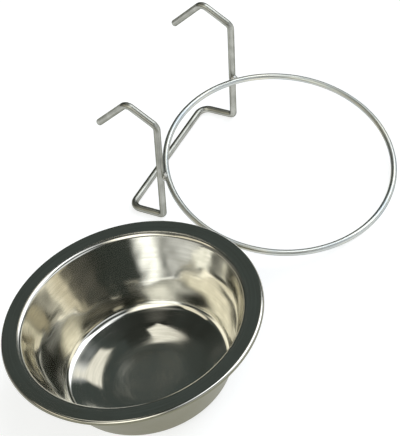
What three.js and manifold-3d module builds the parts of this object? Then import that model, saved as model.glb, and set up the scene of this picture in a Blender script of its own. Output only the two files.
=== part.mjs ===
// Hanging pet bowl: a pressed steel bowl, lifted out and standing beside the wire hanger that holds it on a cage.
// Millimetres, +Z up. The origin is the centre of the bowl's base, on the table. The hanger's front faces -Y.
import * as THREE from "three";
import { mergeVertices } from "three/addons/utils/BufferGeometryUtils.js";
import Module from "manifold-3d";

// Bowl, pressed from one sheet. Rounds are measured on the middle of the sheet.
const SHEET = 0.8;
const BOWL_HEIGHT = 48.5;
const MOUTH_RADIUS = 61.7;
const FLANGE_WIDTH = 8.3;
const WALL_TAPER = THREE.MathUtils.degToRad(19.4);
const FLOOR_RADIUS = 27;
const FLOOR_SLOPE = THREE.MathUtils.degToRad(19);
const FLOOR_ROUND = 57;
const HEEL_ROUND = 6.4;
const THROAT_ROUND = 2.5;
const LIP_DEPTH = 2.2;
const LIP_ROUND = 1.1;

// Holder ring, a hoop of the thinner wire. The bowl drops into it with some play, and its flange sits on the wire.
const RING_WIRE = 3.5;
const RING_PLAY = 2.05;
const RING_DROOP = THREE.MathUtils.degToRad(4.8);

// Hook frame, one bent length of the thicker wire
const HOOK_WIRE = 4.0;
const LEG_SPACING = 88.5;
const LEG_HEIGHT = 74.7;
const RING_HEIGHT = 32.9;
const HOOK_RISE = 9.7;
const HOOK_REACH = 18.6;
const TIP_REACH = 19.2;
const TIP_DROP = 23.7;
const FOOT_REACH = 21.6;
const FOOT_DROP = 3.4;
const BEND_ROUND = 4.5;
const FOOT_ROUND = 2.8;
const CROSSBAR_ROUND = 6;

// Weld beads between the ring and the legs
const WELD_GAP = 0.3;
const WELD_WIDTH = 5.3;
const WELD_HEIGHT = 5.3;
const WELD_DEPTH = 4.7;

// Where the hanger lies on the table
const STAND_APART = 15.4;
const RING_FORWARD = 4.95;

// Fineness of the round shapes
const BOWL_SIDES = 60;
const RING_STEPS = 80;
const WIRE_SIDES = 12;
const WELD_SIDES = 18;
const BEND_STEPS = 5;
const FLOOR_STEPS = 6;

// Sizes that follow from the ones above
const RIM_RADIUS = MOUTH_RADIUS + FLANGE_WIDTH;
const RING_RADIUS = MOUTH_RADIUS + RING_PLAY + RING_WIRE / 2;
const WIRES_APART = (RING_WIRE + HOOK_WIRE) / 2 + WELD_GAP;
const RING_REACH = Math.sqrt((RING_RADIUS + WIRES_APART) ** 2 - (LEG_SPACING / 2) ** 2);

const POLISHED_STEEL = { color: 0xc9c6b8, roughness: 0.12, metalness: 1 };
const RING_STEEL = { color: 0xa9b0b0, roughness: 0.32, metalness: 1 };
const FRAME_STEEL = { color: 0x9a998b, roughness: 0.38, metalness: 1 };
const WELD_STEEL = { color: 0x85847a, roughness: 0.55, metalness: 1 };

const wasm = await Module();
wasm.setup();

const vector = (x, y, z) => new THREE.Vector3(x, y, z);

// A corner of a bent path: its sharp point, and the round and the steps that replace it.
const corner = (point, round, steps) => ({ point, round, steps });

// Stations along straight runs joined by round bends. Each has its point and the direction of the path there.
function bentPath(start, corners, end) {
  const sharp = [start, ...corners.map((bend) => bend.point), end];
  const run = (i) => sharp[i + 1].clone().sub(sharp[i]).normalize();
  const stations = [{ point: start, along: run(0) }];
  corners.forEach(({ point, round, steps }, i) => {
    const before = run(i);
    const after = run(i + 1);
    const turn = before.angleTo(after);
    const axis = vector(0, 0, 0).crossVectors(before, after).normalize();
    const inward = vector(0, 0, 0).crossVectors(axis, before);
    const setback = round * Math.tan(turn / 2);
    const centre = point.clone().addScaledVector(before, -setback).addScaledVector(inward, round);
    for (let step = 0; step <= steps; step += 1) {
      const angle = (turn * step) / steps;
      const spoke = inward.clone().applyAxisAngle(axis, angle);
      const along = before.clone().applyAxisAngle(axis, angle);
      stations.push({ point: centre.clone().addScaledVector(spoke, -round), along });
    }
  });
  stations.push({ point: end, along: run(corners.length) });
  return stations;
}

// The centreline of a bent wire, read station by station.
class WireCurve extends THREE.Curve {
  constructor(stations) {
    super();
    this.stations = stations;
  }

  stationAt(u) {
    return this.stations[Math.round(u * (this.stations.length - 1))];
  }

  getPointAt(u) {
    return this.stationAt(u).point.clone();
  }

  getTangentAt(u) {
    return this.stationAt(u).along.clone();
  }
}

// A round wire along a bent path, cut square at both ends.
function wireGeometry(stations, diameter) {
  const section = new THREE.Shape();
  section.absarc(0, 0, diameter / 2, 0, 2 * Math.PI);
  return new THREE.ExtrudeGeometry(section, {
    steps: stations.length - 1,
    curveSegments: WIRE_SIDES / 2,
    extrudePath: new WireCurve(stations),
  });
}

function ringGeometry(wireDiameter) {
  return new THREE.TorusGeometry(RING_RADIUS, wireDiameter / 2, WIRE_SIDES, RING_STEPS);
}

// The bowl's sheet: a path from the middle of the floor to the lip, thickened to both sides and turned about Z.
// The floor is flat in the middle and rises gently to the heel, where the wall begins. The wide round between the two
// ends a sheet's thickness before the heel's round at the latest.
function bowlGeometry() {
  const half = SHEET / 2;
  const flangeLevel = BOWL_HEIGHT - half;
  const lipRadius = RIM_RADIUS - half;
  const throat = MOUTH_RADIUS - THROAT_ROUND * Math.tan((Math.PI / 2 - WALL_TAPER) / 2);
  const lean = Math.tan(WALL_TAPER);
  const slope = Math.tan(FLOOR_SLOPE);
  const wallFoot = throat - (flangeLevel - half) * lean;
  const heelRise = ((wallFoot - FLOOR_RADIUS) * slope) / (1 - slope * lean);
  const heel = wallFoot + heelRise * lean;
  const heelSetback = HEEL_ROUND * Math.tan((Math.PI / 2 - WALL_TAPER - FLOOR_SLOPE) / 2);
  const floorSetback = (heel - FLOOR_RADIUS) / Math.cos(FLOOR_SLOPE) - heelSetback - SHEET;
  const floorRound = Math.min(FLOOR_ROUND, floorSetback / Math.tan(FLOOR_SLOPE / 2));
  const stations = bentPath(
    vector(0, half, 0),
    [
      corner(vector(FLOOR_RADIUS, half, 0), floorRound, FLOOR_STEPS),
      corner(vector(heel, half + heelRise, 0), HEEL_ROUND, BEND_STEPS),
      corner(vector(throat, flangeLevel, 0), THROAT_ROUND, BEND_STEPS),
      corner(vector(lipRadius, flangeLevel, 0), LIP_ROUND, BEND_STEPS),
    ],
    vector(lipRadius, BOWL_HEIGHT - LIP_DEPTH, 0),
  );
  const side = (offset) =>
    stations.map(({ point, along }) => new THREE.Vector2(point.x - along.y * offset, point.y + along.x * offset));
  const outline = [...side(-half), ...side(half).reverse()];
  return new THREE.LatheGeometry(outline, BOWL_SIDES).rotateX(Math.PI / 2);
}

// Hook frame, from one hook tip down the leg, along the crossbar and up to the other tip.
function hookFrameStations() {
  const hookSide = (x) => ({
    tip: vector(x, HOOK_REACH + TIP_REACH, LEG_HEIGHT + HOOK_RISE - TIP_DROP),
    bends: [
      corner(vector(x, HOOK_REACH, LEG_HEIGHT + HOOK_RISE), BEND_ROUND, BEND_STEPS),
      corner(vector(x, 0, LEG_HEIGHT), BEND_ROUND, BEND_STEPS),
      corner(vector(x, 0, 0), FOOT_ROUND, BEND_STEPS),
      corner(vector(x, FOOT_REACH, -FOOT_DROP), CROSSBAR_ROUND, BEND_STEPS),
    ],
  });
  const left = hookSide(-LEG_SPACING / 2);
  const right = hookSide(LEG_SPACING / 2);
  return bentPath(left.tip, [...left.bends, ...right.bends.reverse()], right.tip);
}

// A closed geometry as a solid that can be cut.
function solidOf(geometry) {
  const bare = geometry.clone();
  bare.deleteAttribute("normal");
  bare.deleteAttribute("uv");
  const merged = mergeVertices(bare);
  const mesh = new wasm.Mesh({
    numProp: 3,
    vertProperties: new Float32Array(merged.attributes.position.array),
    triVerts: new Uint32Array(merged.index.array),
  });
  return new wasm.Manifold(mesh);
}

function geometryOf(solid) {
  const { vertProperties, triVerts } = solid.getMesh();
  const geometry = new THREE.BufferGeometry();
  geometry.setAttribute("position", new THREE.BufferAttribute(vertProperties, 3));
  geometry.setIndex(new THREE.BufferAttribute(triVerts, 1));
  geometry.computeVertexNormals();
  return geometry;
}

// The ring's place on the frame: its back passes between the legs, and it droops a little towards the front.
function placeOnFrame(geometry) {
  return geometry.translate(0, -RING_REACH, 0).rotateX(RING_DROOP).translate(0, 0, RING_HEIGHT);
}

// One weld bead: a rounded lump where a leg passes the ring, hollowed round both wires.
function weldGeometry(side) {
  const legX = (side * LEG_SPACING) / 2;
  const towardRing = Math.atan2(-RING_REACH, -legX);
  const offset = (HOOK_WIRE + WELD_GAP) / 2;
  const bead = new THREE.SphereGeometry(0.5, WELD_SIDES, WELD_SIDES)
    .scale(WELD_DEPTH, WELD_WIDTH, WELD_HEIGHT)
    .translate(offset, 0, 0)
    .rotateZ(towardRing)
    .translate(legX, 0, RING_HEIGHT);
  const legHole = new THREE.CylinderGeometry(1, 1, 2 * WELD_HEIGHT, 2 * WIRE_SIDES)
    .scale(HOOK_WIRE / 2 + WELD_GAP, 1, HOOK_WIRE / 2 + WELD_GAP)
    .rotateX(Math.PI / 2)
    .translate(legX, 0, RING_HEIGHT);
  const ringHole = placeOnFrame(ringGeometry(RING_WIRE + 2 * WELD_GAP));
  return geometryOf(solidOf(bead).subtract(solidOf(legHole)).subtract(solidOf(ringHole)));
}

function piece(name, geometry, finish) {
  const mesh = new THREE.Mesh(geometry, new THREE.MeshStandardMaterial(finish));
  mesh.name = name;
  return mesh;
}

// How far the hanger tips forward to stand on its two bottom bends and the front of its ring.
function hangerLean(bend, ringFront) {
  const rise = ringFront.z - bend.z;
  const reach = bend.y - ringFront.y;
  const drop = RING_WIRE / 2 - HOOK_WIRE / 2 - FOOT_ROUND;
  return Math.acos(drop / Math.hypot(rise, reach)) - Math.atan2(reach, rise);
}

// The hanger, leaning as it stands on the table beside the bowl.
function buildHanger() {
  const hanger = new THREE.Group();
  hanger.add(
    piece("holder_ring", placeOnFrame(ringGeometry(RING_WIRE)), RING_STEEL),
    piece("hook_frame", wireGeometry(hookFrameStations(), HOOK_WIRE), FRAME_STEEL),
    piece("weld_left", weldGeometry(-1), WELD_STEEL),
    piece("weld_right", weldGeometry(1), WELD_STEEL),
  );
  const footTurn = Math.PI / 2 - Math.atan2(FOOT_DROP, FOOT_REACH);
  const bend = vector(0, FOOT_ROUND, FOOT_ROUND * Math.tan(footTurn / 2));
  const droop = vector(0, -Math.cos(RING_DROOP), -Math.sin(RING_DROOP));
  const ringCentre = vector(0, 0, RING_HEIGHT).addScaledVector(droop, RING_REACH);
  const ringFront = ringCentre.clone().addScaledVector(droop, RING_RADIUS);
  const lean = hangerLean(bend, ringFront);
  const tip = (point) => point.clone().applyAxisAngle(vector(1, 0, 0), lean);
  hanger.rotation.x = lean;
  hanger.position.set(
    RIM_RADIUS + STAND_APART + RING_WIRE / 2 + RING_RADIUS,
    -RING_FORWARD - tip(ringCentre).y,
    FOOT_ROUND + HOOK_WIRE / 2 - tip(bend).z,
  );
  return hanger;
}

const hangingBowl = new THREE.Group();
hangingBowl.add(piece("bowl", bowlGeometry(), POLISHED_STEEL), buildHanger());

export default hangingBowl;
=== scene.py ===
"""Hanging pet bowl: a polished steel bowl beside the welded wire hanger that holds it on a cage.

Sizes are in millimetres, in the frame of the CAD model: the origin is the middle of the bowl's base on the
table, +Z is up, and the hanger's front faces -Y. A mesh is turned to metres when it is made.
"""

import logging
import math
from collections.abc import Sequence
from dataclasses import dataclass
from enum import Enum

import bpy
import numpy as np
from mathutils import Matrix
from numpy.typing import NDArray


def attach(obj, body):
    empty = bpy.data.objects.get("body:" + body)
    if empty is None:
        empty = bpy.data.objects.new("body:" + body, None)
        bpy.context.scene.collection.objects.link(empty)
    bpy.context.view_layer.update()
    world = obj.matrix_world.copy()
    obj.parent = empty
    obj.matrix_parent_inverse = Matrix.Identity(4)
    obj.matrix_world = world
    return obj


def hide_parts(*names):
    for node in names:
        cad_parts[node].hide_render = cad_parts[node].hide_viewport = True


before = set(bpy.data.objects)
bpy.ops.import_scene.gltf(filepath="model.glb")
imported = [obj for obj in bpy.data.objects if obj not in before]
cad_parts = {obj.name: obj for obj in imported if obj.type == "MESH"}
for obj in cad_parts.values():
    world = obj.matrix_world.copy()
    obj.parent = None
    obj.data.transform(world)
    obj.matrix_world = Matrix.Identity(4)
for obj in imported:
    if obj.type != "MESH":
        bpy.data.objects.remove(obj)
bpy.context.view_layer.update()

Array = NDArray[np.float64]
Inputs = dict[str | int, object]
MM = 0.001
UP = np.array([0.0, 0.0, 1.0])
RIGHT = np.array([1.0, 0.0, 0.0])
PATTERN = "pattern"
LOG = logging.getLogger("hanging_pet_bowl")


class Body(Enum):
    """The CAD bodies that pieces ride on."""

    HANGER = "hanger"
    BOWL = "bowl"


class Slot(Enum):
    """Names of the material slots."""

    POLISHED_SHEET = "polished_sheet"
    RING_WIRE = "ring_wire"
    FRAME_WIRE = "frame_wire"
    WELD_METAL = "weld_metal"


class Side(Enum):
    """The hanger's two legs, by the sign of their X."""

    LEFT = -1
    RIGHT = 1


class PanelColour(Enum):
    """The colours of the studio's panels."""

    BOARD_GREY = "#474e4c"
    WARM_WHITE = "#fff8e2"
    SOFT_WHITE = "#fffdf2"
    COOL_WHITE = "#f6faff"


def linear(colour: str) -> tuple[float, float, float, float]:
    """Turns a colour written as sRGB hex into the linear values that Blender's sockets take.

    Args:
        colour: The colour as #rrggbb.

    Returns:
        Red, green, blue and an alpha of 1.
    """
    srgb = np.array([int(colour[i : i + 2], 16) for i in (1, 3, 5)]) / 255
    red, green, blue = np.where(srgb <= 0.04045, srgb / 12.92, ((srgb + 0.055) / 1.055) ** 2.4)
    return float(red), float(green), float(blue), 1.0


def add_node(
    tree: bpy.types.NodeTree, kind: str, inputs: Inputs | None = None, **settings: object
) -> bpy.types.Node:
    """Adds one node to a tree.

    Args:
        tree: The material's or the world's node tree.
        kind: The node's type.
        inputs: For each socket's name or number, a value to set or another node's output to link.
        settings: The node's own properties.

    Returns:
        The new node.
    """
    node = tree.nodes.new(kind)
    for name, value in settings.items():
        setattr(node, name, value)
    for socket, value in (inputs or {}).items():
        if isinstance(value, bpy.types.NodeSocket):
            tree.links.new(value, node.inputs[socket])
        else:
            node.inputs[socket].default_value = value
    return node


def blank_material(name: str) -> tuple[bpy.types.Material, bpy.types.NodeTree]:
    """Makes a material with an empty node tree.

    Args:
        name: The material's name.

    Returns:
        The material and its tree.
    """
    material = bpy.data.materials.new(name)
    material.use_nodes = True
    material.node_tree.nodes.clear()
    return material, material.node_tree


def metal_surface(
    tree: bpy.types.NodeTree,
    colour: bpy.types.NodeSocket,
    roughness: bpy.types.NodeSocket,
    relief: bpy.types.NodeSocket,
    depth: float,
    edge: str = "#ffffff",
) -> None:
    """Ends a bare metal's tree with its shader.

    Args:
        tree: The material's node tree.
        colour: The metal's colour.
        roughness: Its roughness.
        relief: The height of its fine relief, from 0 to 1.
        depth: The relief's full height.
        edge: Tint of what it mirrors where it is seen nearly edge on.
    """
    bump = add_node(tree, "ShaderNodeBump", {"Height": relief, "Distance": depth * MM, "Strength": 1.0})
    shader = add_node(
        tree,
        "ShaderNodeBsdfPrincipled",
        {
            "Base Color": colour,
            "Metallic": 1.0,
            "Roughness": roughness,
            "Specular Tint": linear(edge),
            "Normal": bump.outputs[0],
        },
    )
    add_node(tree, "ShaderNodeOutputMaterial", {"Surface": shader.outputs[0]})


@dataclass(frozen=True)
class Path:
    """A line in space, station by station.

    Attributes:
        points: Where each station is.
        along: The way the line runs there.
        side: A direction square to it, carried along without twist.
    """

    points: Array
    along: Array
    side: Array

    @property
    def lengths(self) -> Array:
        """Distance along the line from its start to each station."""
        steps = np.linalg.norm(np.diff(self.points, axis=0), axis=1)
        return np.concatenate([[0.0], np.cumsum(steps)])

    def refined(self, spacing: float) -> "Path":
        """Adds stations on the straight runs.

        A new station lies on the chord between its neighbours, at even lengths along the line.

        Args:
            spacing: The greatest distance between stations.

        Returns:
            The same line with more stations.
        """
        have = self.lengths
        even = np.linspace(0.0, have[-1], int(have[-1] / spacing) + 1)
        gap = np.abs(even[:, None] - have[None, :]).min(axis=1)
        want = np.sort(np.concatenate([have, even[gap > spacing / 2]]))
        given = np.concatenate([self.points, self.along, self.side], axis=1)
        read = np.stack([np.interp(want, have, column) for column in given.T], axis=1)
        return Path(*np.split(read, 3, axis=1))


def bent_path(sharp: Array, rounds: Sequence[float], steps: int, side: Array) -> Path:
    """Straight runs joined by round bends.

    Each corner is replaced by an arc that touches both its runs: at angle a the point is
    centre + round * (sin(a) * before - cos(a) * inward), and the line runs along
    cos(a) * before + sin(a) * inward. The side direction turns with the arc about the bend's own axis.

    Args:
        sharp: The line's start, its sharp corners and its end.
        rounds: The radius of each corner's bend.
        steps: Steps in each bend.
        side: A direction square to the first run.

    Returns:
        The line's stations.
    """
    runs = np.diff(sharp, axis=0)
    runs = runs / np.linalg.norm(runs, axis=1, keepdims=True)
    points = [sharp[:1]]
    along = [runs[:1]]
    sides = [side[None]]
    for corner, before, after, radius in zip(sharp[1:-1], runs[:-1], runs[1:], rounds):
        turn = math.acos(float(before @ after))
        axis = np.cross(before, after) / math.sin(turn)
        inward = np.cross(axis, before)
        centre = corner - before * radius * math.tan(turn / 2) + inward * radius
        angle = np.linspace(0.0, turn, steps + 1)[:, None]
        points.append(centre + radius * (np.sin(angle) * before - np.cos(angle) * inward))
        along.append(np.cos(angle) * before + np.sin(angle) * inward)
        turned_side = np.cos(angle) * side + np.sin(angle) * np.cross(axis, side)
        sides.append(turned_side + (1 - np.cos(angle)) * axis * (axis @ side))
        side = sides[-1][-1]
    points.append(sharp[-1:])
    along.append(runs[-1:])
    sides.append(side[None])
    return Path(np.concatenate(points), np.concatenate(along), np.concatenate(sides))


@dataclass(frozen=True)
class Surface:
    """A grid of points whose columns run round and close on themselves.

    Attributes:
        points: Rows by columns of points.
        pattern: Rows by columns of the coordinates that the finish follows, in millimetres.
        closed: True where the last row joins the first. Otherwise the first and last rows are single points.
    """

    points: Array
    pattern: Array
    closed: bool = False

    def mesh(self, name: str) -> bpy.types.Mesh:
        """Makes the grid's mesh in metres, smooth, with its pattern as an attribute.

        Every cell is a face. Where a row is a single point its columns share one vertex, so the cells beside
        it drop the corner that repeats and become triangles.

        Args:
            name: The mesh's name.

        Returns:
            The mesh.
        """
        rows, columns = self.points.shape[:2]
        index = np.arange(rows * columns).reshape(rows, columns)
        if not self.closed:
            index[[0, -1]] = index[[0, -1], :1]
        used, index = np.unique(index, return_inverse=True)
        index = index.reshape(rows, columns)
        here = index if self.closed else index[:-1]
        onward = np.roll(index, -1, axis=0) if self.closed else index[1:]
        beside, across = np.roll([here, onward], -1, axis=2)
        cells = np.stack([here, beside, across, onward], axis=-1).reshape(-1, 4)
        kept = cells != np.roll(cells, 1, axis=1)
        corners = kept.sum(axis=1)
        mesh = bpy.data.meshes.new(name)
        mesh.vertices.add(len(used))
        mesh.loops.add(int(corners.sum()))
        mesh.polygons.add(len(cells))
        mesh.vertices.foreach_set("co", (self.points.reshape(-1, 3)[used] * MM).ravel())
        mesh.loops.foreach_set("vertex_index", cells[kept].astype(np.int32))
        mesh.polygons.foreach_set("loop_start", (np.cumsum(corners) - corners).astype(np.int32))
        mesh.polygons.foreach_set("use_smooth", np.ones(len(cells), dtype=bool))
        layer = mesh.attributes.new(PATTERN, "FLOAT_VECTOR", "POINT")
        layer.data.foreach_set("vector", self.pattern.reshape(-1, 3)[used].ravel())
        mesh.update(calc_edges=True)
        mesh.validate()
        return mesh


def tube(path: Path, radii: Array, sides: int, closed: bool = False) -> Surface:
    """A round section carried along a line.

    At angle v round the section the point is station + radius * (cos(v) * side + sin(v) * cross), where
    cross is square to the line and to side. The pattern is the same point on the wire before it was bent:
    across the section in X and Y, along the wire in Z. On a closed wire Z runs out to the far side and back,
    so it meets itself.

    Args:
        path: The line.
        radii: The section's radius at each station.
        sides: Points round the section.
        closed: True where the line closes on itself.

    Returns:
        The wire's surface.
    """
    angle = np.linspace(0.0, 2 * np.pi, sides, endpoint=False)
    cross = np.cross(path.along, path.side)
    spokes = np.cos(angle)[:, None] * path.side[:, None] + np.sin(angle)[:, None] * cross[:, None]
    points = path.points[:, None] + radii[:, None, None] * spokes
    lengths = path.lengths
    reach = np.minimum(lengths, lengths[-1] - lengths) if closed else lengths
    pattern = np.empty_like(points)
    pattern[..., 0] = radii[:, None] * np.cos(angle)
    pattern[..., 1] = radii[:, None] * np.sin(angle)
    pattern[..., 2] = reach[:, None]
    return Surface(points, pattern, closed)


def turned(outline: Array, sides: int) -> Surface:
    """An outline turned about the Z axis.

    A point at radius r and height z becomes (r * cos(v), r * sin(v), z) at angle v. The pattern unrolls it:
    length along the outline in X, counted from its middle, and a circle of the widest radius in Y and Z.

    Args:
        outline: Radius and height of each station, from the axis back to the axis.
        sides: Points round the axis.

    Returns:
        The turned surface.
    """
    angle = np.linspace(0.0, 2 * np.pi, sides, endpoint=False)
    steps = np.hypot(*np.diff(outline, axis=0).T)
    lengths = np.concatenate([[0.0], np.cumsum(steps)])
    widest = outline[:, 0].max()
    radius = outline[:, :1]
    height = np.broadcast_to(outline[:, 1:], (len(outline), sides))
    points = np.stack([radius * np.cos(angle), radius * np.sin(angle), height], axis=-1)
    circle = widest * np.stack([np.cos(angle), np.sin(angle)], axis=-1)
    rounds = np.broadcast_to(circle, (*height.shape, 2))
    unrolled = np.broadcast_to((lengths - lengths[-1] / 2)[:, None, None], (*height.shape, 1))
    return Surface(points, np.concatenate([unrolled, rounds], axis=-1))


@dataclass(frozen=True)
class PolishedSheet:
    """Stainless steel sheet, deep drawn, buffed to a mirror inside on a turning mop and left satin outside.

    The eye gets clear reflections of the studio inside, softened by faint rings from the mop, duller in the
    middle of the floor and in the throat, and a plain warm grey outside, darkened as painted shade for the
    shadowed table that it mirrors.

    Attributes:
        name: The material's name.
        bright: Colour of the clean mirror.
        worn: Colour of the mirror where it is rubbed.
        outside: Colour of the satin outside, darkened as painted shade for the shadowed table that it
            mirrors.
        ring_spacing: Distance between the mop's rings, about ten times coarser than real, to show.
        ring_length: Length over which a ring changes on its way round.
        ring_depth: Height of the rings.
        ring_detail: Layers of finer noise in the rings.
        smear_size: Size of the rubbed patches.
        wear_range: Levels of the noise at which rubbing starts and is full.
        wear_roughness: Roughness that full rubbing adds.
        rim_radius: Radius of the lip.
        buffing: Distances from the axis, each with the clean mirror's roughness there.
        outside_roughness: Roughness of the satin outside.
        outside_edge: Distances inwards from the lip's edge between which satin turns to mirror.
    """

    name: str = "mirror_polished_stainless_sheet"
    bright: str = "#dddbd3"
    worn: str = "#cbc9c0"
    # Painted shade: the outside's colour is darker than the steel's own, standing in for the shadowed table
    # it mirrors.
    outside: str = "#84826f"
    ring_spacing: float = 1.1
    ring_length: float = 45.0
    ring_depth: float = 0.0003
    ring_detail: float = 4.0
    smear_size: float = 18.0
    wear_range: tuple[float, float] = (0.15, 0.4)
    wear_roughness: float = 0.1
    rim_radius: float = 70.0
    buffing: tuple[tuple[float, float], ...] = (
        (16.0, 0.15),
        (25.0, 0.04),
        (42.0, 0.04),
        (47.0, 0.055),
        (59.0, 0.055),
        (61.0, 0.15),
        (63.0, 0.06),
    )
    outside_roughness: float = 0.38
    outside_edge: tuple[float, float] = (0.9, 1.7)

    def material(self) -> bpy.types.Material:
        """Builds the sheet's material from the mop's rings, rubbed patches and the distance from the axis.

        Returns:
            The material.
        """
        material, tree = blank_material(self.name)
        place = add_node(tree, "ShaderNodeAttribute", attribute_name=PATTERN)
        spread = (1 / self.ring_spacing, 1 / self.ring_length, 1 / self.ring_length)
        laid = add_node(tree, "ShaderNodeMapping", {"Vector": place.outputs["Vector"], "Scale": spread})
        rings = add_node(
            tree,
            "ShaderNodeTexNoise",
            {"Vector": laid.outputs[0], "Scale": 1.0, "Detail": self.ring_detail},
        )
        room = add_node(tree, "ShaderNodeTexCoord").outputs["Object"]
        smears = add_node(tree, "ShaderNodeTexNoise", {"Vector": room, "Scale": 1 / (self.smear_size * MM)})
        wear = add_node(
            tree, "ShaderNodeMath", {0: rings.outputs[0], 1: smears.outputs[0]}, operation="MULTIPLY"
        )
        share = add_node(
            tree,
            "ShaderNodeMapRange",
            {"Value": wear.outputs[0], "From Min": self.wear_range[0], "From Max": self.wear_range[1]},
        )
        parts = add_node(tree, "ShaderNodeSeparateXYZ", {0: place.outputs["Vector"]})
        inside = add_node(
            tree,
            "ShaderNodeMapRange",
            {"Value": parts.outputs[0], "From Min": self.outside_edge[0], "From Max": self.outside_edge[1]},
        )
        mirror = add_node(
            tree,
            "ShaderNodeMix",
            {0: share.outputs[0], 6: linear(self.bright), 7: linear(self.worn)},
            data_type="RGBA",
        )
        # Outside, the darkened colour that paints shade; inside, the mirror's colour.
        colour = add_node(
            tree,
            "ShaderNodeMix",
            {0: inside.outputs[0], 6: linear(self.outside), 7: mirror.outputs[2]},
            data_type="RGBA",
        )
        level = add_node(tree, "ShaderNodeVectorMath", {0: room, 1: (1.0, 1.0, 0.0)}, operation="MULTIPLY")
        radius = add_node(tree, "ShaderNodeVectorMath", {0: level.outputs[0]}, operation="LENGTH")
        reach = add_node(
            tree, "ShaderNodeMath", {0: radius.outputs["Value"], 1: self.rim_radius * MM}, operation="DIVIDE"
        )
        clean = add_node(tree, "ShaderNodeValToRGB", {"Fac": reach.outputs[0]})
        stops = clean.color_ramp.elements
        for distance, rough in self.buffing:
            stops.new(distance / self.rim_radius).color = (rough, rough, rough, 1.0)
        stops[0].color = stops[1].color
        stops[-1].color = stops[-2].color
        polish = add_node(
            tree,
            "ShaderNodeMath",
            {0: share.outputs[0], 1: self.wear_roughness, 2: clean.outputs[0]},
            operation="MULTIPLY_ADD",
        )
        roughness = add_node(
            tree,
            "ShaderNodeMapRange",
            {"Value": inside.outputs[0], "To Min": self.outside_roughness, "To Max": polish.outputs[0]},
        )
        metal_surface(tree, colour.outputs[2], roughness.outputs[0], rings.outputs[0], self.ring_depth)
        return material


@dataclass(frozen=True)
class DrawnWire:
    """Steel wire pulled through a die, with fine lines along it.

    The eye gets a soft highlight drawn out along the wire, broken by the lines, with duller patches from
    handling.

    Attributes:
        name: The material's name.
        bright: Colour of the clean metal.
        dull: Colour of the handled patches.
        edge: Tint of what the wire mirrors along its two outlines, where it is seen nearly edge on.
        clean_roughness: Roughness of the clean metal.
        dull_roughness: Roughness of the handled patches.
        patch_size: Size of the handled patches.
        patch_detail: Layers of finer noise in the patches.
        line_width: Distance between the lines, drawn coarser than real, to show.
        line_length: Length over which a line changes.
        line_depth: Depth of the lines.
        line_detail: Layers of finer noise in the lines.
        dull_range: Levels of the summed noise at which the metal is clean and fully dull.
    """

    name: str
    bright: str
    dull: str
    edge: str
    clean_roughness: float
    dull_roughness: float
    patch_size: float
    patch_detail: float = 4.0
    line_width: float = 0.45
    line_length: float = 30.0
    line_depth: float = 0.02
    line_detail: float = 3.0
    dull_range: tuple[float, float] = (0.75, 1.25)

    def material(self) -> bpy.types.Material:
        """Builds the wire's material from its place along and across the straight wire.

        Returns:
            The material.
        """
        material, tree = blank_material(self.name)
        place = add_node(tree, "ShaderNodeAttribute", attribute_name=PATTERN).outputs["Vector"]
        spread = (1 / self.line_width, 1 / self.line_width, 1 / self.line_length)
        laid = add_node(tree, "ShaderNodeMapping", {"Vector": place, "Scale": spread})
        lines = add_node(
            tree,
            "ShaderNodeTexNoise",
            {"Vector": laid.outputs[0], "Scale": 1.0, "Detail": self.line_detail},
        )
        patches = add_node(
            tree,
            "ShaderNodeTexNoise",
            {"Vector": place, "Scale": 1 / self.patch_size, "Detail": self.patch_detail},
        )
        blend = add_node(
            tree, "ShaderNodeMath", {0: lines.outputs[0], 1: patches.outputs[0]}, operation="ADD"
        )
        share = add_node(
            tree,
            "ShaderNodeMapRange",
            {"Value": blend.outputs[0], "From Min": self.dull_range[0], "From Max": self.dull_range[1]},
        )
        colour = add_node(
            tree,
            "ShaderNodeMix",
            {0: share.outputs[0], 6: linear(self.bright), 7: linear(self.dull)},
            data_type="RGBA",
        )
        roughness = add_node(
            tree,
            "ShaderNodeMapRange",
            {"Value": share.outputs[0], "To Min": self.clean_roughness, "To Max": self.dull_roughness},
        )
        metal_surface(
            tree, colour.outputs[2], roughness.outputs[0], lines.outputs[0], self.line_depth, self.edge
        )
        return material


@dataclass(frozen=True)
class WeldMetal:
    """Steel that melted and set again, brushed once.

    The eye gets a dull, pitted bead with faint blue and straw heat colours.

    Attributes:
        name: The material's name.
        metal: Colour of the bare bead.
        straw: The lighter heat colour.
        blue: The stronger heat colour.
        tint_size: Size of the patches of heat colour.
        tint_stops: Levels of the noise at which the bead is blue, straw and bare.
        pit_size: Size of the pits.
        pit_depth: Depth of the pits.
        roughness: Roughness in the pits and on the crests.
    """

    name: str = "brushed_weld_steel"
    metal: str = "#c6c8c7"
    straw: str = "#b3b0a6"
    blue: str = "#a9aeb1"
    tint_size: float = 2.4
    tint_stops: tuple[float, float, float] = (0.3, 0.42, 0.62)
    pit_size: float = 0.7
    pit_depth: float = 0.12
    roughness: tuple[float, float] = (0.35, 0.6)

    def material(self) -> bpy.types.Material:
        """Builds the bead's material from two sizes of noise, one for the tints and one for the pits.

        Returns:
            The material.
        """
        material, tree = blank_material(self.name)
        room = add_node(tree, "ShaderNodeTexCoord").outputs["Object"]
        tints = add_node(tree, "ShaderNodeTexNoise", {"Vector": room, "Scale": 1 / (self.tint_size * MM)})
        pits = add_node(tree, "ShaderNodeTexNoise", {"Vector": room, "Scale": 1 / (self.pit_size * MM)})
        colour = add_node(tree, "ShaderNodeValToRGB", {"Fac": tints.outputs[0]})
        stops = colour.color_ramp.elements
        blue_at, straw_at, metal_at = self.tint_stops
        stops[0].position = blue_at
        stops[0].color = linear(self.blue)
        stops[1].position = metal_at
        stops[1].color = linear(self.metal)
        stops.new(straw_at).color = linear(self.straw)
        roughness = add_node(
            tree,
            "ShaderNodeMapRange",
            {"Value": pits.outputs[0], "To Min": self.roughness[0], "To Max": self.roughness[1]},
        )
        metal_surface(tree, colour.outputs[0], roughness.outputs[0], pits.outputs[0], self.pit_depth)
        return material


Finish = PolishedSheet | DrawnWire | WeldMetal

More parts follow.
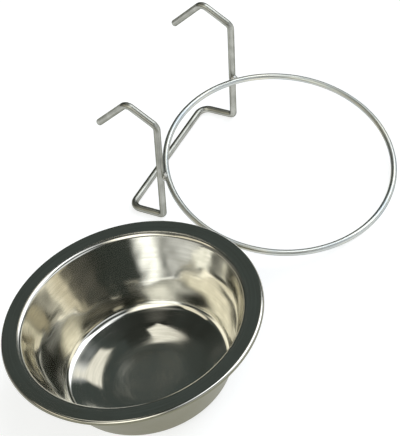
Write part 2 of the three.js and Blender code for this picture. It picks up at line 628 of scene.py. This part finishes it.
SHEET_FINISH = PolishedSheet()
RING_FINISH = DrawnWire(
    name="bright_drawn_steel_wire",
    bright="#dbd8ca",
    dull="#b4bdc2",
    edge="#7c7d76",
    clean_roughness=0.26,
    dull_roughness=0.38,
    patch_size=30.0,
)
FRAME_FINISH = DrawnWire(
    name="satin_drawn_steel_wire",
    bright="#babab3",
    dull="#93948c",
    edge="#8a897c",
    clean_roughness=0.25,
    dull_roughness=0.38,
    patch_size=9.0,
)
WELD_FINISH = WeldMetal()


def piece(name: str, surface: Surface, finish: Finish, body: Body) -> bpy.types.Object:
    """Puts one finished piece into the scene in place of its CAD node.

    Args:
        name: The CAD node's name, which the piece extends.
        surface: The piece's shape.
        finish: Its finish.
        body: The body that it rides on.

    Returns:
        The piece's object.
    """
    mesh = surface.mesh(f"{name}_look")
    material = bpy.data.materials.get(finish.name) or finish.material()
    mesh.materials.append(material)
    made = bpy.data.objects.new(f"{name}_look", mesh)
    bpy.context.scene.collection.objects.link(made)
    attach(made, body.value)
    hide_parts(name)
    LOG.info("%s: %d faces, %s", made.name, len(mesh.polygons), finish.name)
    return made


@dataclass(frozen=True)
class Wave:
    """One of the waves that drawing leaves in the bowl's wall.

    Attributes:
        share: Its part of the ripple's depth.
        count: Crests round the bowl.
        turn: Phase round the bowl.
        sway: Phase by which the crests swing sideways on the way up.
        lag: Phase of that swing.
        rate: Waves up the wall in each ripple length.
        rise: Phase up the wall.
    """

    share: float
    count: int
    turn: float
    sway: float
    lag: float
    rate: float
    rise: float


@dataclass(frozen=True)
class Bowl:
    """The bowl, pressed from one sheet: flat floor, rising floor edge, tapered wall, flange and turned lip.

    Rounds are measured on the middle of the sheet.
    """

    sheet: float = 0.8
    height: float = 48.5
    mouth_radius: float = 61.7
    flange_width: float = 8.3
    wall_taper: float = math.radians(19.4)
    floor_radius: float = 27.0
    floor_slope: float = math.radians(19)
    floor_round: float = 57.0
    heel_round: float = 6.4
    throat_round: float = 2.5
    lip_depth: float = 2.2
    lip_round: float = 1.1
    ripple_depth: float = 0.22
    ripple_length: float = 42.0
    waves: tuple[Wave, ...] = (
        Wave(share=0.5, count=5, turn=0.8, sway=0.6, lag=0.0, rate=1.0, rise=-0.4),
        Wave(share=0.3, count=9, turn=2.1, sway=-0.9, lag=1.0, rate=1.4, rise=0.9),
        Wave(share=0.2, count=16, turn=0.3, sway=1.2, lag=math.pi / 2, rate=2.1, rise=2.2),
    )
    sides: int = 288
    bend_steps: int = 14
    spacing: float = 1.3
    edge_steps: int = 8

    @property
    def throat_radius(self) -> float:
        """Radius of the sharp corner between wall and flange."""
        return self.mouth_radius - self.throat_round * math.tan((math.pi / 2 - self.wall_taper) / 2)

    @property
    def heel_run(self) -> float:
        """How far outside the floor's corner the heel's corner lies, where floor edge and wall meet.

        Returns:
            The distance outwards.
        """
        lean = math.tan(self.wall_taper)
        foot = self.throat_radius - (self.height - self.sheet) * lean
        return (foot - self.floor_radius) / (1 - math.tan(self.floor_slope) * lean)

    def section(self) -> Path:
        """The middle of the sheet, from the axis along the floor and up the wall to the lip's edge.

        Returns:
            The line in the plane of X and Z.
        """
        half = self.sheet / 2
        flange = self.height - half
        lip = self.mouth_radius + self.flange_width - half
        rise = self.heel_run * math.tan(self.floor_slope)
        sharp = np.array(
            [
                [0.0, 0.0, half],
                [self.floor_radius, 0.0, half],
                [self.floor_radius + self.heel_run, 0.0, half + rise],
                [self.throat_radius, 0.0, flange],
                [lip, 0.0, flange],
                [lip, 0.0, self.height - self.lip_depth + half],
            ]
        )
        rounds = (self.floor_round, self.heel_round, self.throat_round, self.lip_round)
        return bent_path(sharp, rounds, self.bend_steps, UP).refined(self.spacing)

    def ripple(self, lengths: Array, angle: Array) -> Array:
        """How far drawing left the sheet out of true, a few tenths of a millimetre.

        The waves run round the bowl and up the wall: each is the product of a cosine round the bowl, whose
        phase swings on the way up, and a cosine up the wall. They fade to nothing at the heel and at the
        throat by the square of a sine between the two.

        Args:
            lengths: Distance along the section from the axis.
            angle: Angle round the axis.

        Returns:
            The distance inwards at each length and angle.
        """
        heel = self.floor_radius + self.heel_run / math.cos(self.floor_slope)
        end = lengths.max() - self.flange_width - self.lip_depth - self.throat_round
        share = np.clip((lengths - heel) / (end - heel), 0.0, 1.0)[:, None]
        up = 2 * np.pi * lengths[:, None] / self.ripple_length
        height = sum(
            wave.share
            * np.cos(wave.count * angle + wave.turn + wave.sway * np.sin(up + wave.lag))
            * np.cos(wave.rate * up + wave.rise)
            for wave in self.waves
        )
        return self.ripple_depth * np.sin(np.pi * share) ** 2 * height

    def surface(self) -> Surface:
        """The bowl: the section moved half the sheet to each side, with a round edge at the lip, and turned.

        Both faces of the sheet are moved by the same ripple, along the section's side direction.

        Returns:
            The bowl's surface, from under the floor round the lip to the inside of the floor.
        """
        half = self.sheet / 2
        section = self.section()
        middle = section.points[:, [0, 2]]
        inward = section.side[:, [0, 2]]
        angle = np.linspace(0.0, np.pi, self.edge_steps + 1)[1:-1, None]
        edge = middle[-1] + half * (np.sin(angle) * section.along[-1, [0, 2]] - np.cos(angle) * inward[-1])
        outline = np.concatenate([middle - half * inward, edge, (middle + half * inward)[::-1]])
        turned_sheet = turned(outline, self.sides)
        ends = len(edge)
        lengths = np.concatenate([section.lengths, section.lengths[[-1] * ends], section.lengths[::-1]])
        side = np.concatenate([inward, inward[[-1] * ends], inward[::-1]])
        turn = np.linspace(0.0, 2 * np.pi, self.sides, endpoint=False)
        spokes = np.stack([np.cos(turn), np.sin(turn)], axis=-1)
        push = self.ripple(lengths, turn)[..., None]
        flat = turned_sheet.points[..., :2] + push * side[:, None, :1] * spokes
        upright = turned_sheet.points[..., 2:] + push * side[:, None, 1:]
        return Surface(np.concatenate([flat, upright], axis=-1), turned_sheet.pattern)

    def build(self) -> bpy.types.Object:
        """Makes the bowl's piece.

        Returns:
            The bowl's object.
        """
        return piece("bowl", self.surface(), SHEET_FINISH, Body.BOWL)


@dataclass(frozen=True)
class Hanger:
    """The hanger: a ring and a bent frame of round wire, joined by two weld beads, standing on the table."""

    bowl: Bowl
    ring_wire: float = 3.5
    ring_play: float = 2.05
    ring_droop: float = math.radians(4.8)
    hook_wire: float = 4.0
    leg_spacing: float = 88.5
    leg_height: float = 74.7
    ring_height: float = 32.9
    hook_rise: float = 9.7
    hook_reach: float = 18.6
    tip_reach: float = 19.2
    tip_drop: float = 23.7
    foot_reach: float = 21.6
    foot_drop: float = 3.4
    bend_round: float = 4.5
    foot_round: float = 2.8
    crossbar_round: float = 6.0
    weld_gap: float = 0.3
    weld_width: float = 5.3
    weld_height: float = 5.3
    weld_depth: float = 4.7
    weld_ripple: float = 0.05
    weld_crests_up: int = 7
    weld_crests_round: int = 3
    stand_apart: float = 15.4
    ring_forward: float = 4.95
    end_ease: float = 0.5
    wire_sides: int = 32
    ring_steps: int = 360
    bend_steps: int = 14
    spacing: float = 3.0
    weld_steps: int = 48

    @property
    def ring_radius(self) -> float:
        """Radius to the middle of the ring's wire, which clears the bowl's wall by the play."""
        return self.bowl.mouth_radius + self.ring_play + self.ring_wire / 2

    @property
    def ring_reach(self) -> float:
        """Distance from the legs' plane to the ring's middle, with the wires a weld gap apart."""
        apart = (self.ring_wire + self.hook_wire) / 2 + self.weld_gap
        return math.sqrt((self.ring_radius + apart) ** 2 - (self.leg_spacing / 2) ** 2)

    @property
    def forward(self) -> Array:
        """The way from the legs to the front of the drooping ring, in the hanger's own frame."""
        return np.array([0.0, -math.cos(self.ring_droop), -math.sin(self.ring_droop)])

    @property
    def ring_middle(self) -> Array:
        """The ring's middle in the hanger's own frame."""
        return self.ring_height * UP + self.ring_reach * self.forward

    @property
    def bend_middle(self) -> Array:
        """The middle of a bottom bend's arc in the hanger's own frame."""
        turn = math.pi / 2 - math.atan2(self.foot_drop, self.foot_reach)
        return np.array([0.0, self.foot_round, self.foot_round * math.tan(turn / 2)])

    @property
    def lean(self) -> float:
        """How far the hanger tips forward to stand on its two bottom bends and the front of its ring.

        Returns:
            The angle about X.
        """
        front = self.ring_middle + self.ring_radius * self.forward
        rise = front[2] - self.bend_middle[2]
        reach = self.bend_middle[1] - front[1]
        drop = self.ring_wire / 2 - self.hook_wire / 2 - self.foot_round
        return math.acos(drop / math.hypot(rise, reach)) - math.atan2(reach, rise)

    def tipped(self, vectors: Array) -> Array:
        """Turns points or directions of the hanger about X by its lean.

        Args:
            vectors: The points or directions.

        Returns:
            The turned ones.
        """
        cos = math.cos(self.lean)
        sin = math.sin(self.lean)
        return vectors @ np.array([[1.0, 0.0, 0.0], [0.0, cos, sin], [0.0, -sin, cos]])

    @property
    def place(self) -> Array:
        """Where the hanger's own origin stands on the table.

        Returns:
            The point.
        """
        rim = self.bowl.mouth_radius + self.bowl.flange_width
        return np.array(
            [
                rim + self.stand_apart + self.ring_wire / 2 + self.ring_radius,
                -self.ring_forward - self.tipped(self.ring_middle)[1],
                self.foot_round + self.hook_wire / 2 - self.tipped(self.bend_middle)[2],
            ]
        )

    def stood(self, path: Path) -> Path:
        """Moves a line from the hanger's own frame to where it stands."""
        return Path(self.tipped(path.points) + self.place, self.tipped(path.along), self.tipped(path.side))

    def ring_surface(self) -> Surface:
        """The ring: a round section carried round a circle that droops towards the front.

        Returns:
            The ring's surface.
        """
        angle = np.linspace(0.0, 2 * np.pi, self.ring_steps, endpoint=False)[:, None]
        outward = np.cos(angle) * RIGHT - np.sin(angle) * self.forward
        along = -np.cos(angle) * self.forward - np.sin(angle) * RIGHT
        path = self.stood(Path(self.ring_middle + self.ring_radius * outward, along, outward))
        return tube(path, np.full(self.ring_steps, self.ring_wire / 2), self.wire_sides, closed=True)

    def frame_path(self) -> Path:
        """The hook frame's middle line, from one hook's tip by leg, crossbar and leg to the other tip.

        Returns:
            The line where the hanger stands.
        """
        side = np.array(
            [
                [self.hook_reach + self.tip_reach, self.leg_height + self.hook_rise - self.tip_drop],
                [self.hook_reach, self.leg_height + self.hook_rise],
                [0.0, self.leg_height],
                [0.0, 0.0],
                [self.foot_reach, -self.foot_drop],
            ]
        )
        depths = np.concatenate([side, side[::-1]])
        across = np.repeat([-self.leg_spacing / 2, self.leg_spacing / 2], len(side))
        sharp = np.column_stack([across, depths])
        side_rounds = [self.bend_round, self.bend_round, self.foot_round, self.crossbar_round]
        rounds = [*side_rounds, *side_rounds[::-1]]
        return self.stood(bent_path(sharp, rounds, self.bend_steps, RIGHT).refined(self.spacing))

    def frame_surface(self) -> Surface:
        """The hook frame: a round section along its line, with eased edges where the wire was cut.

        At angle a round an eased edge the section stands ease * (1 - cos(a)) in from the cut and is
        ease * (1 - sin(a)) thinner than the wire.

        Returns:
            The frame's surface.
        """
        path = self.frame_path()
        angle = np.linspace(0.0, np.pi / 2, self.bend_steps)
        radius = self.hook_wire / 2
        inset = np.concatenate([[0.0], self.end_ease * (1 - np.cos(angle))])
        eased = np.concatenate([[0.0], radius - self.end_ease * (1 - np.sin(angle))])
        head = path.points[0] + inset[:, None] * path.along[0]
        tail = path.points[-1] - inset[::-1, None] * path.along[-1]
        ends = len(inset)
        whole = Path(
            np.concatenate([head, path.points[1:-1], tail]),
            np.concatenate([path.along[[0] * ends], path.along[1:-1], path.along[[-1] * ends]]),
            np.concatenate([path.side[[0] * ends], path.side[1:-1], path.side[[-1] * ends]]),
        )
        radii = np.concatenate([eased, np.full(len(path.points) - 2, radius), eased[::-1]])
        return tube(whole, radii, self.wire_sides)

    def weld_surface(self, side: Side) -> Surface:
        """A weld bead: an ellipsoid between leg and ring, with ripples where it set.

        The point at latitude u and longitude v is the ellipsoid's, moved away from the bead's upright axis by
        a share that is the product of a wave up the bead, a wave round it and cos(u).

        Args:
            side: Which leg.

        Returns:
            The bead's surface.
        """
        leg = np.array([side.value * self.leg_spacing / 2, 0.0, self.ring_height])
        toward = np.array([-leg[0], -self.ring_reach, 0.0])
        toward /= np.linalg.norm(toward)
        across = np.array([-toward[1], toward[0], 0.0])
        up = np.linspace(-np.pi / 2, np.pi / 2, self.weld_steps)[:, None]
        turn = np.linspace(0.0, 2 * np.pi, self.weld_steps, endpoint=False)[None, :]
        wave = np.sin(self.weld_crests_up * up + side.value) * np.cos(self.weld_crests_round * turn)
        swell = 1 + self.weld_ripple * np.cos(up) * wave
        depth = self.weld_depth / 2 * swell * np.cos(up) * np.cos(turn)
        width = self.weld_width / 2 * swell * np.cos(up) * np.sin(turn)
        height = np.broadcast_to(self.weld_height / 2 * np.sin(up), depth.shape)
        bead = np.stack([depth, width, height], axis=-1)
        centre = leg + toward * (self.hook_wire + self.weld_gap) / 2
        return Surface(self.tipped(bead @ np.stack([toward, across, UP]) + centre) + self.place, bead)

    def build(self) -> list[bpy.types.Object]:
        """Makes the ring, the frame and the two beads.

        Returns:
            Their objects.
        """
        return [
            piece("holder_ring", self.ring_surface(), RING_FINISH, Body.HANGER),
            piece("hook_frame", self.frame_surface(), FRAME_FINISH, Body.HANGER),
            piece("weld_left", self.weld_surface(Side.LEFT), WELD_FINISH, Body.HANGER),
            piece("weld_right", self.weld_surface(Side.RIGHT), WELD_FINISH, Body.HANGER),
        ]


@dataclass(frozen=True)
class LightPanel:
    """A soft panel of the studio, far away, seen as a patch of sky with blurred edges.

    Attributes:
        name: What the panel is called in the world's nodes.
        bearing: Degrees to the left of the way the camera faces.
        height: Degrees above the horizon.
        width: Degrees across.
        tall: Degrees from bottom to top.
        blur: Degrees over which each edge fades.
        colour: The panel's colour.
        strength: Its brightness, where 1 is white.
        lean: Degrees that its sides lean to the right for each degree up.
    """

    name: str
    bearing: float
    height: float
    width: float
    tall: float
    blur: float
    colour: PanelColour
    strength: float
    lean: float


@dataclass(frozen=True)
class Studio:
    """The table, the room's light and the camera.

    Angles are in degrees. Each panel covers those before it where they overlap.
    """

    heading: float = 50.08
    elevation: float = 43.46
    roll: float = -16.25
    eye: tuple[float, float, float] = (-486.65, -470.75, 742.1)
    focal_pixels: float = 1867.3
    image_height: int = 436
    sensor: float = 36.0
    table_radius: float = 12000.0
    table_thickness: float = 1.0
    table_drop: float = 0.02
    table_sides: int = 96
    table_colour: str = "#bfc2c6"
    table_glow: float = 0.70
    room_dark: str = "#2b2d29"
    room_light: str = "#454b48"
    cloud_size: float = 0.5
    cloud_detail: float = 2.0
    cloud_range: tuple[float, float] = (0.35, 0.65)
    bounces: int = 16
    panels: tuple[LightPanel, ...] = (
        LightPanel("board_ahead", -30.0, 48.0, 78.0, 47.0, 6.0, PanelColour.BOARD_GREY, 1.0, 0.8),
        LightPanel("left", 98.0, 34.0, 40.0, 29.0, 4.0, PanelColour.WARM_WHITE, 1.15, 1.2),
        LightPanel("low_right", -127.0, 18.5, 72.0, 21.5, 24.0, PanelColour.COOL_WHITE, 1.4, 0.45),
        LightPanel("right", -77.5, 47.5, 64.0, 30.0, 14.0, PanelColour.COOL_WHITE, 2.9, 0.35),
        LightPanel("high_right", -122.0, 66.0, 85.0, 15.0, 24.0, PanelColour.COOL_WHITE, 1.8, -1.5),
        LightPanel("right_strip", -63.0, 34.0, 26.0, 30.0, 20.0, PanelColour.COOL_WHITE, 2.9, -0.9),
        LightPanel("ahead_right", -30.0, 56.5, 23.0, 20.0, 3.0, PanelColour.SOFT_WHITE, 1.1, 0.4),
        LightPanel("behind", 153.0, 44.5, 52.0, 42.0, 24.0, PanelColour.SOFT_WHITE, 2.1, -0.2),
        LightPanel("ahead_left", 27.0, 65.5, 26.0, 18.0, 3.0, PanelColour.SOFT_WHITE, 1.15, -0.8),
        LightPanel("low_left_shade", 86.0, 14.5, 56.0, 38.0, 14.0, PanelColour.SOFT_WHITE, 0.18, 1.25),
        LightPanel("high_left", 98.0, 71.0, 64.0, 11.0, 24.0, PanelColour.SOFT_WHITE, 0.44, 1.5),
        LightPanel("overhead", -90.0, 67.5, 50.0, 17.5, 14.0, PanelColour.COOL_WHITE, 3.1, 0.85),
    )

    def camera(self) -> bpy.types.Object:
        """Makes the camera. Its columns are right, up and backward, turned by heading, elevation and roll.

        Returns:
            The camera's object.
        """
        heading = math.radians(self.heading)
        down = math.radians(self.elevation)
        roll = math.radians(self.roll)
        level_ahead = np.array([math.sin(heading), math.cos(heading), 0.0])
        ahead = math.cos(down) * level_ahead - math.sin(down) * UP
        level = np.array([math.cos(heading), -math.sin(heading), 0.0])
        above = np.cross(level, ahead)
        right = math.cos(roll) * level + math.sin(roll) * above
        up = math.cos(roll) * above - math.sin(roll) * level
        lens = bpy.data.cameras.new("photo_camera")
        lens.sensor_width = self.sensor
        lens.lens = self.focal_pixels * self.sensor / self.image_height
        lens.clip_end = self.table_radius * MM * 2
        made = bpy.data.objects.new("photo_camera", lens)
        bpy.context.scene.collection.objects.link(made)
        turn = np.eye(4)
        turn[:3, :3] = np.column_stack([right, up, -ahead])
        turn[:3, 3] = np.array(self.eye) * MM
        made.matrix_world = Matrix(turn.tolist())
        bpy.context.scene.camera = made
        return made

    def table(self) -> bpy.types.Object:
        """Makes the table: a wide disc turned about Z, matt white, that keeps the object's shadow.

        Seen by the camera, in metal or through glass, part of its white is its own glow and the rest is the
        light that falls on it.

        Returns:
            The table's object.
        """
        top = -self.table_drop
        under = top - self.table_thickness
        rim = self.table_radius
        outline = np.array([[0.0, under], [rim, under], [rim, top], [0.0, top]])
        mesh = turned(outline, self.table_sides).mesh("white_table")
        mesh.polygons.foreach_set("use_smooth", np.zeros(len(mesh.polygons), dtype=bool))
        material, tree = blank_material("matt_white_table_board")
        light = add_node(tree, "ShaderNodeLightPath")
        seen = add_node(
            tree,
            "ShaderNodeMath",
            {0: light.outputs["Is Camera Ray"], 1: light.outputs["Is Glossy Ray"]},
            operation="ADD",
        )
        shown = add_node(
            tree,
            "ShaderNodeMath",
            {0: seen.outputs[0], 1: light.outputs["Is Transmission Ray"]},
            operation="ADD",
            use_clamp=True,
        )
        strength = add_node(
            tree, "ShaderNodeMath", {0: shown.outputs[0], 1: self.table_glow}, operation="MULTIPLY"
        )
        glow = add_node(tree, "ShaderNodeEmission", {"Strength": strength.outputs[0]})
        board = add_node(tree, "ShaderNodeBsdfDiffuse", {"Color": linear(self.table_colour)})
        both = add_node(tree, "ShaderNodeAddShader", {0: glow.outputs[0], 1: board.outputs[0]})
        add_node(tree, "ShaderNodeOutputMaterial", {"Surface": both.outputs[0]})
        mesh.materials.append(material)
        made = bpy.data.objects.new("white_table", mesh)
        bpy.context.scene.collection.objects.link(made)
        return made

    def panel_mask(
        self, tree: bpy.types.NodeTree, look: bpy.types.NodeSocket, panel: LightPanel
    ) -> bpy.types.NodeSocket:
        """Adds the nodes that say how much of a panel shows in a direction.

        The direction is turned so that the panel's middle lies above +X. Its angles to the left and up are
        then atan2(y, x) and asin(z) less the panel's height, the first moved by the lean times the second.
        The mask fades from 1 to 0 across the blur at the panel's edges.

        Args:
            tree: The world's node tree.
            look: The direction.
            panel: The panel.

        Returns:
            The mask, from 0 to 1.
        """
        ahead = math.pi / 2 - math.radians(self.heading) + math.radians(panel.bearing)
        turned_away = add_node(
            tree, "ShaderNodeVectorRotate", {"Vector": look, "Angle": -ahead}, rotation_type="Z_AXIS"
        )
        parts = add_node(tree, "ShaderNodeSeparateXYZ", {0: turned_away.outputs[0]})
        left = add_node(
            tree, "ShaderNodeMath", {0: parts.outputs[1], 1: parts.outputs[0]}, operation="ARCTAN2"
        )
        height = add_node(tree, "ShaderNodeMath", {0: parts.outputs[2]}, operation="ARCSINE")
        middle = math.radians(panel.height)
        rise = add_node(tree, "ShaderNodeMath", {0: height.outputs[0], 1: middle}, operation="SUBTRACT")
        leaned = add_node(
            tree,
            "ShaderNodeMath",
            {0: rise.outputs[0], 1: panel.lean, 2: left.outputs[0]},
            operation="MULTIPLY_ADD",
        )
        edges = []
        for angle, extent in ((leaned, panel.width), (rise, panel.tall)):
            size = add_node(tree, "ShaderNodeMath", {0: angle.outputs[0]}, operation="ABSOLUTE")
            edges.append(
                add_node(
                    tree,
                    "ShaderNodeMapRange",
                    {
                        "Value": size.outputs[0],
                        "From Min": math.radians((extent - panel.blur) / 2),
                        "From Max": math.radians((extent + panel.blur) / 2),
                        "To Min": 1.0,
                        "To Max": 0.0,
                    },
                    interpolation_type="SMOOTHSTEP",
                )
            )
        across, upright = edges
        mask = add_node(
            tree, "ShaderNodeMath", {0: across.outputs[0], 1: upright.outputs[0]}, operation="MULTIPLY"
        )
        return mask.outputs[0]

    def room(self) -> None:
        """Makes the room's light: a dim, cloudy grey room with soft panels laid over it."""
        world = bpy.data.worlds.new("soft_studio_room")
        world.use_nodes = True
        bpy.context.scene.world = world
        tree = world.node_tree
        tree.nodes.clear()
        look = add_node(tree, "ShaderNodeTexCoord").outputs["Generated"]
        clouds = add_node(
            tree,
            "ShaderNodeTexNoise",
            {"Vector": look, "Scale": 1 / self.cloud_size, "Detail": self.cloud_detail},
        )
        fade = add_node(
            tree,
            "ShaderNodeMapRange",
            {"Value": clouds.outputs[0], "From Min": self.cloud_range[0], "From Max": self.cloud_range[1]},
        )
        dim = {0: fade.outputs[0], 6: linear(self.room_dark), 7: linear(self.room_light)}
        light = add_node(tree, "ShaderNodeMix", dim, data_type="RGBA").outputs[2]
        for panel in self.panels:
            shine = np.array(linear(panel.colour.value)[:3]) * panel.strength
            laid = add_node(
                tree,
                "ShaderNodeMix",
                {0: self.panel_mask(tree, look, panel), 6: light, 7: (*shine.tolist(), 1.0)},
                data_type="RGBA",
                label=panel.name,
            )
            light = laid.outputs[2]
        back = add_node(tree, "ShaderNodeBackground", {"Color": light})
        add_node(tree, "ShaderNodeOutputWorld", {"Surface": back.outputs[0]})

    def build(self) -> None:
        """Makes the camera, the table and the room's light, with plain view settings.

        Light that goes round inside a polished bowl meets the metal many times, so the bounces are set high.
        """
        bpy.context.scene.view_settings.view_transform = "Standard"
        bpy.context.scene.cycles.max_bounces = self.bounces
        bpy.context.scene.cycles.glossy_bounces = self.bounces
        self.camera()
        self.table()
        self.room()


def main() -> None:
    """Builds the studio, the bowl and the hanger in order, and reports each piece."""
    logging.basicConfig(level=logging.INFO, format="%(name)s: %(message)s")
    Studio().build()
    bowl = Bowl()
    bowl.build()
    Hanger(bowl).build()


if __name__ == "__main__":
    main()
